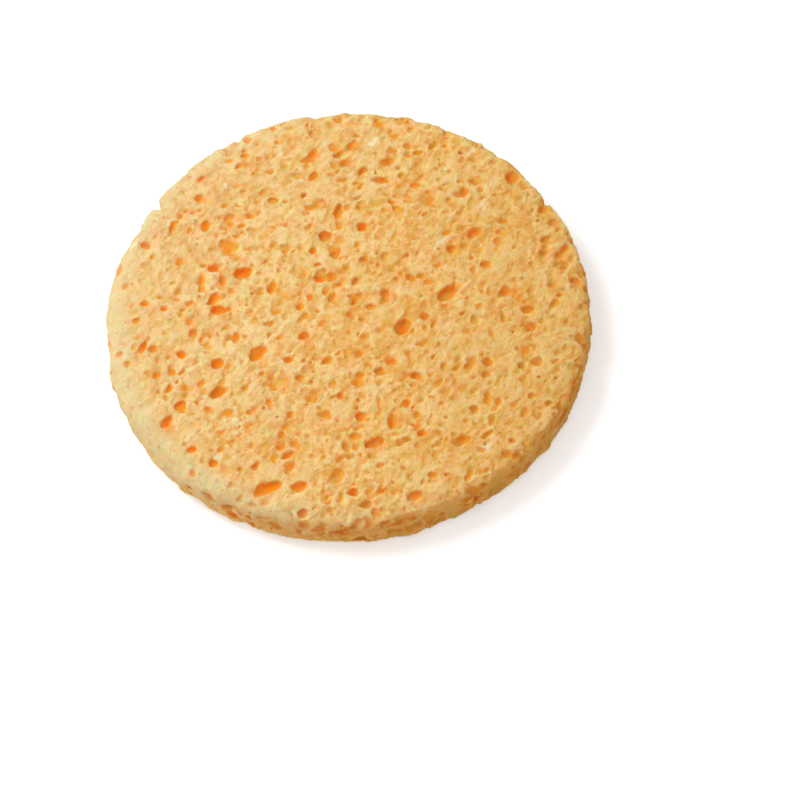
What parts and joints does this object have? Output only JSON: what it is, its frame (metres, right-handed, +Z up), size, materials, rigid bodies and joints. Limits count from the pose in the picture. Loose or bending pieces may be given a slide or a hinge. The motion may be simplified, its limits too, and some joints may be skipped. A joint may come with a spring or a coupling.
{
  "type": "round cellulose sponge",
  "caption": "Thin round cellulose sponge, punched from sheet, with open pores in both faces and the wall, for face washing and small wiping jobs.",
  "frame": {"origin": "middle of the lower face, on the plane that the sponge lies on", "axes": "+Z up through the thickness; +Y away from the viewer of the picture and +X to the viewer's right"},
  "size_m": [0.0762, 0.0758, 0.0085],
  "materials": {
    "cellulose": "matt, dry open-pored cellulose, pale apricot with deep orange pores"
  },
  "bodies": {
    "root": {"sponge": "cellulose"}
  },
  "joints": []
}
